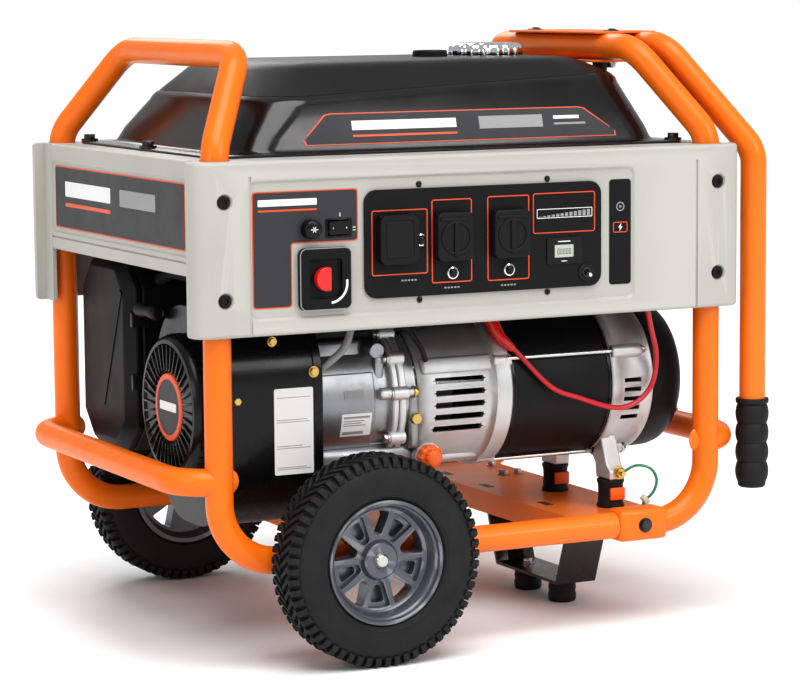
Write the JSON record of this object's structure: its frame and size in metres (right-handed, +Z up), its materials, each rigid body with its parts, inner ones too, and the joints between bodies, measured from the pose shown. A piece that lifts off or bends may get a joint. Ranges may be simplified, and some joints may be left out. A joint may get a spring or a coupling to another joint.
{
  "type": "portable generator",
  "caption": "Petrol generator on a tubular frame with wheels, a folding handle, a control panel, a fuel tank and an engine that drives an alternator.",
  "frame": {"origin": "middle of the footprint, on the ground under the tyres and feet", "axes": "+X towards the folding handle, -Y towards the control panel, +Z up"},
  "size_m": [0.7868, 0.6348, 0.7095],
  "materials": {
    "orange_paint": "gloss powder coat",
    "orange_plastic": "satin",
    "light_grey_plastic": "satin moulded",
    "black_paint": "semi-gloss",
    "black_plastic": "fine grain",
    "black_rubber": "matt",
    "tyre_rubber": "lugged",
    "rim_plastic": "satin",
    "cast_aluminium": "as cast",
    "steel": "machined",
    "dark_steel": "heat darkened",
    "bright_chrome": "polished",
    "wound_copper": "varnished windings on iron",
    "red_plastic": "gloss",
    "green_plastic": "gloss"
  },
  "bodies": {
    "frame": {"left_frame_tube": "orange_paint", "right_frame_tube": "orange_paint", "left_bumper_tube": "orange_paint", "right_bumper_tube": "orange_paint", "engine_channel": "orange_paint", "alternator_channel": "orange_paint", "clamp_top_plate": "orange_paint", "clamp_bottom_plate": "orange_paint", "front_cover": "light_grey_plastic", "back_cover": "light_grey_plastic", "left_side_cover": "light_grey_plastic", "right_side_cover": "light_grey_plastic", "fuel_tank": "black_paint", "leg_bracket": "black_paint", "blower_housing": "black_paint", "stator": "black_paint", "outlet_panel": "black_plastic", "fuel_knob_bezel": "black_plastic", "recoil_cover": "black_plastic", "air_cleaner": "black_plastic", "alternator_end_cover": "black_plastic", "battery": "black_plastic", "front_rubber_foot": "black_rubber", "back_rubber_foot": "black_rubber", "engine_front_isolator": "black_rubber", "engine_back_isolator": "black_rubber", "alternator_front_isolator": "black_rubber", "alternator_back_isolator": "black_rubber", "crankcase": "cast_aluminium", "cylinder": "cast_aluminium", "bell_housing": "cast_aluminium", "rear_bracket": "cast_aluminium", "carburettor": "cast_aluminium", "front_axle_pin": "steel", "back_axle_pin": "steel", "muffler": "dark_steel", "battery_cable": "red_plastic", "ground_wire": "green_plastic"},
    "front_wheel": {"front_tyre": "tyre_rubber", "front_rim": "rim_plastic"},
    "back_wheel": {"back_tyre": "tyre_rubber", "back_rim": "rim_plastic"},
    "handle": {"handle_tube": "orange_paint", "front_grip": "black_rubber", "back_grip": "black_rubber"},
    "fuel_cap": {"fuel_cap": "bright_chrome"},
    "oil_cap": {"oil_filler_cap": "orange_plastic"},
    "choke": {"choke_knob": "black_plastic"},
    "rocker": {"start_rocker": "black_plastic"},
    "fuel_valve_knob": {"fuel_knob": "red_plastic"},
    "square_lid": {"square_socket_lid": "black_plastic"},
    "left_lid": {"left_socket_lid": "black_plastic"},
    "right_lid": {"right_socket_lid": "black_plastic"},
    "breaker_1": {"breaker_button_1": "black_plastic"},
    "breaker_2": {"breaker_button_2": "black_plastic"},
    "breaker_3": {"breaker_button_3": "black_plastic"},
    "toggle": {"idle_toggle": "bright_chrome"},
    "pull": {"recoil_pull": "black_plastic"},
    "shaft_line": {"crankshaft_and_flywheel": "steel", "rotor": "wound_copper"}
  },
  "joints": [
    {"name": "front_wheel_spin", "type": "hinge", "parent": "frame", "child": "front_wheel", "pos_m": [-0.16505, -0.2884, 0.1205], "axis": [0, 1, 0], "continuous": true},
    {"name": "back_wheel_spin", "type": "hinge", "parent": "frame", "child": "back_wheel", "pos_m": [-0.16505, 0.2884, 0.1205], "axis": [0, 1, 0], "continuous": true},
    {"name": "handle_swing", "type": "hinge", "parent": "frame", "child": "handle", "pos_m": [0.29645, 0, 0.69], "axis": [0, -1, 0], "range_deg": [0, 95]},
    {"name": "fuel_cap_lift", "type": "slide", "parent": "frame", "child": "fuel_cap", "axis": [0, 0, 1], "range_m": [0, 0.045]},
    {"name": "oil_cap_lift", "type": "slide", "parent": "frame", "child": "oil_cap", "axis": [0, -1, 0], "range_m": [0, 0.03]},
    {"name": "choke_pull", "type": "slide", "parent": "frame", "child": "choke", "axis": [0, -1, 0], "range_m": [0, 0.015]},
    {"name": "rocker_tilt", "type": "hinge", "parent": "frame", "child": "rocker", "pos_m": [-0.19645, -0.263, 0.4955], "axis": [0, 0, 1], "range_deg": [-10, 10]},
    {"name": "fuel_knob_turn", "type": "hinge", "parent": "frame", "child": "fuel_valve_knob", "pos_m": [-0.21545, -0.2653, 0.4395], "axis": [0, 1, 0], "range_deg": [0, 90]},
    {"name": "square_lid_swing", "type": "hinge", "parent": "frame", "child": "square_lid", "pos_m": [-0.12705, -0.2671, 0.508], "axis": [-1, 0, 0], "range_deg": [0, 90]},
    {"name": "left_lid_swing", "type": "hinge", "parent": "frame", "child": "left_lid", "pos_m": [-0.05505, -0.2671, 0.508], "axis": [-1, 0, 0], "range_deg": [0, 90]},
    {"name": "right_lid_swing", "type": "hinge", "parent": "frame", "child": "right_lid", "pos_m": [0.01845, -0.2671, 0.508], "axis": [-1, 0, 0], "range_deg": [0, 90]},
    {"name": "breaker_1_push", "type": "slide", "parent": "frame", "child": "breaker_1", "axis": [0, 1, 0], "range_m": [0, 0.003], "stiffness_N_per_m": 250, "springref_m": -0.001},
    {"name": "breaker_2_push", "type": "slide", "parent": "frame", "child": "breaker_2", "axis": [0, 1, 0], "range_m": [0, 0.003], "stiffness_N_per_m": 250, "springref_m": -0.001},
    {"name": "breaker_3_push", "type": "slide", "parent": "frame", "child": "breaker_3", "axis": [0, 1, 0], "range_m": [0, 0.003], "stiffness_N_per_m": 250, "springref_m": -0.001},
    {"name": "toggle_flip", "type": "hinge", "parent": "frame", "child": "toggle", "pos_m": [0.12195, -0.26505, 0.43], "axis": [-1, 0, 0], "range_deg": [0, 24]},
    {"name": "pull_start", "type": "slide", "parent": "frame", "child": "pull", "axis": [-1, 0, 0], "range_m": [0, 0.12], "stiffness_N_per_m": 60, "springref_m": -0.05},
    {"name": "shaft_spin", "type": "hinge", "parent": "frame", "child": "shaft_line", "pos_m": [-0.01505, -0.108, 0.284], "axis": [1, 0, 0], "continuous": true}
  ]
}
